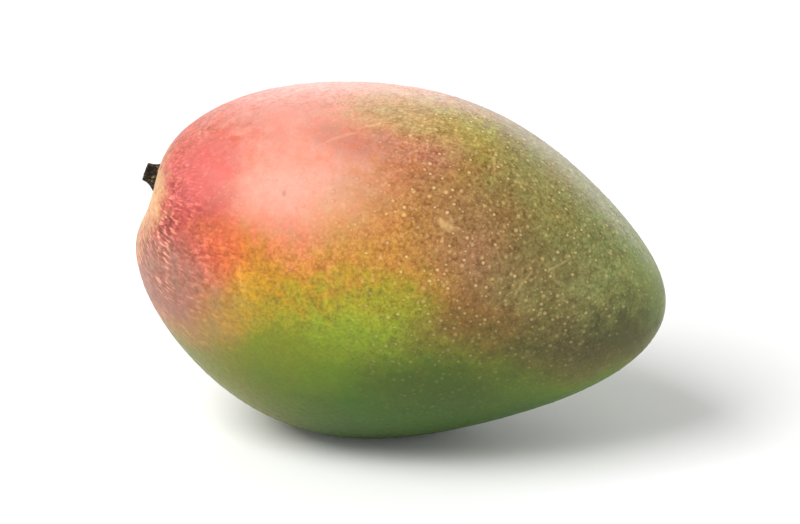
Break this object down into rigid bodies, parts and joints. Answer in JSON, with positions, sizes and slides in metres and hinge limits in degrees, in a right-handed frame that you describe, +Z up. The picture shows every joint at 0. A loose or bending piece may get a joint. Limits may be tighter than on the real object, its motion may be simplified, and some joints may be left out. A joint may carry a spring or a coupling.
{
  "type": "mango",
  "caption": "Whole mango lying on its side, an egg-shaped fruit with a blunt stalk end, a rounded apex, a shallow hollow round a short woody stub of stalk, and a small flat spot underneath.",
  "frame": {"origin": "under the middle of the fruit's box, on the surface that it lies on", "axes": "+X along the fruit from the stalk end to the apex, +Y from cheek to cheek, +Z up through the back, which is the stalk's side"},
  "size_m": [0.1308, 0.0824, 0.0861],
  "materials": {
    "skin": "smooth waxy fruit skin, semi-gloss, coral red at the stalk end over gold and green, with fine pale pores",
    "bark": "dry rough bark, dark brown, with a darker cut end"
  },
  "bodies": {
    "root": {"fruit": "skin", "stalk": "bark"}
  },
  "joints": []
}
